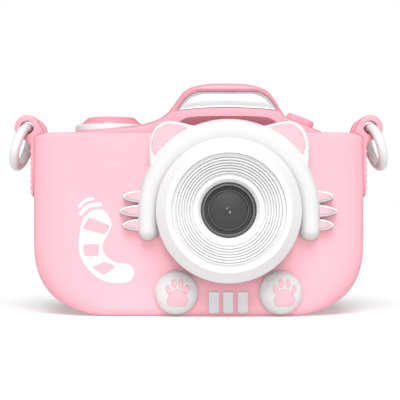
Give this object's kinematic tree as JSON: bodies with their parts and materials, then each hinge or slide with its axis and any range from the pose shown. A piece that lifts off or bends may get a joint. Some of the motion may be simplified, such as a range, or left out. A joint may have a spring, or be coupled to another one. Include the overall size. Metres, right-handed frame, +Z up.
{
  "type": "kids digital camera",
  "caption": "Toy-sized digital camera in a soft cat-eared silicone sleeve, with a stepped lens bezel, flash hump, shutter button, mode dial, screen, keys and strap rings.",
  "frame": {"origin": "on the ground, at the middle of the camera's width and depth", "axes": "+Z up, -Y the way the lens looks, +X to the right of someone facing the lens"},
  "size_m": [0.1132, 0.046, 0.0686],
  "materials": {
    "silicone_pink": "matte",
    "shell_pink": "satin",
    "button_pink": "satin",
    "dial_pink": "satin",
    "inlay_pink": "matte",
    "white_plastic": "satin",
    "white_rubber": "matte",
    "diffuser": "frosted",
    "black_plastic": "satin",
    "dark_glass": "gloss",
    "steel": "satin",
    "circuit_board": "satin",
    "component_black": "matte",
    "foil": "satin",
    "rubber_membrane": "matte"
  },
  "bodies": {
    "camera_body": {"silicone_case": "silicone_pink", "front_shell": "shell_pink", "rear_shell": "shell_pink", "top_cover": "shell_pink", "strap_bracket_left": "shell_pink", "strap_bracket_right": "shell_pink", "cat_face_ring": "white_rubber", "bib_bar_1": "white_rubber", "bib_bar_2": "white_rubber", "bib_bar_3": "white_rubber", "paw_dome_left": "white_rubber", "paw_dome_right": "white_rubber", "ear_inlay_left": "inlay_pink", "ear_inlay_right": "inlay_pink", "paw_insert_left": "inlay_pink", "paw_insert_right": "inlay_pink", "whisker_inlay_left_1": "inlay_pink", "whisker_inlay_right_1": "inlay_pink", "whisker_inlay_left_2": "inlay_pink", "whisker_inlay_right_2": "inlay_pink", "whisker_inlay_left_3": "inlay_pink", "whisker_inlay_right_3": "inlay_pink", "lens_bezel": "white_plastic", "shutter_plate": "white_plastic", "lens_barrel": "black_plastic", "lens_retaining_ring": "black_plastic", "lens_glass": "dark_glass", "screen_window": "dark_glass", "camera_module": "component_black", "shutter_switch": "component_black", "lcd_panel": "component_black", "speaker": "component_black", "flash_window": "diffuser", "flash_board": "circuit_board", "shutter_board": "circuit_board", "main_board": "circuit_board", "key_membrane": "rubber_membrane", "battery": "foil", "usb_port": "steel", "card_cage": "steel", "case_screw_1": "steel", "case_screw_2": "steel", "case_screw_3": "steel", "case_screw_4": "steel"},
    "shutter": {"shutter_button": "button_pink"},
    "dial": {"mode_dial": "dial_pink"},
    "key_right_body": {"key_right": "button_pink"},
    "key_up_body": {"key_up": "button_pink"},
    "key_left_body": {"key_left": "button_pink"},
    "key_down_body": {"key_down": "button_pink"},
    "key_ok_body": {"key_ok": "button_pink"},
    "key_menu_body": {"key_menu": "button_pink"},
    "key_play_body": {"key_play": "button_pink"},
    "power_key": {"power_button": "button_pink"},
    "ring_left": {"lanyard_ring_left": "white_plastic"},
    "ring_right": {"lanyard_ring_right": "white_plastic"},
    "card": {"memory_card": "component_black"}
  },
  "joints": [
    {"name": "shutter_press", "type": "slide", "parent": "camera_body", "child": "shutter", "axis": [0, 0, -1], "range_m": [0, 0.001], "stiffness_N_per_m": 900, "springref_m": -0.0008},
    {"name": "mode_dial_turn", "type": "hinge", "parent": "camera_body", "child": "dial", "pos_m": [0.0305, 0.006, 0.0573], "axis": [0.3746, 0, 0.9272], "continuous": true},
    {"name": "key_right_press", "type": "slide", "parent": "camera_body", "child": "key_right_body", "axis": [0, -1, 0], "range_m": [0, 0.0008], "stiffness_N_per_m": 900, "springref_m": -0.0006},
    {"name": "key_up_press", "type": "slide", "parent": "camera_body", "child": "key_up_body", "axis": [0, -1, 0], "range_m": [0, 0.0008], "stiffness_N_per_m": 900, "springref_m": -0.0006},
    {"name": "key_left_press", "type": "slide", "parent": "camera_body", "child": "key_left_body", "axis": [0, -1, 0], "range_m": [0, 0.0008], "stiffness_N_per_m": 900, "springref_m": -0.0006},
    {"name": "key_down_press", "type": "slide", "parent": "camera_body", "child": "key_down_body", "axis": [0, -1, 0], "range_m": [0, 0.0008], "stiffness_N_per_m": 900, "springref_m": -0.0006},
    {"name": "key_ok_press", "type": "slide", "parent": "camera_body", "child": "key_ok_body", "axis": [0, -1, 0], "range_m": [0, 0.0008], "stiffness_N_per_m": 900, "springref_m": -0.0006},
    {"name": "key_menu_press", "type": "slide", "parent": "camera_body", "child": "key_menu_body", "axis": [0, -1, 0], "range_m": [0, 0.0008], "stiffness_N_per_m": 900, "springref_m": -0.0006},
    {"name": "key_play_press", "type": "slide", "parent": "camera_body", "child": "key_play_body", "axis": [0, -1, 0], "range_m": [0, 0.0008], "stiffness_N_per_m": 900, "springref_m": -0.0006},
    {"name": "power_press", "type": "slide", "parent": "camera_body", "child": "power_key", "axis": [0, -1, 0], "range_m": [0, 0.0008], "stiffness_N_per_m": 900, "springref_m": -0.0006},
    {"name": "ring_left_swing", "type": "hinge", "parent": "camera_body", "child": "ring_left", "pos_m": [-0.0516, 0.0024, 0.0558], "axis": [0, 1, 0], "range_deg": [0, 130]},
    {"name": "ring_right_swing", "type": "hinge", "parent": "camera_body", "child": "ring_right", "pos_m": [0.0516, 0.0024, 0.0558], "axis": [0, -1, 0], "range_deg": [0, 130]},
    {"name": "memory_card_slide", "type": "slide", "parent": "camera_body", "child": "card", "axis": [-1, 0, 0], "range_m": [0, 0.013]}
  ]
}
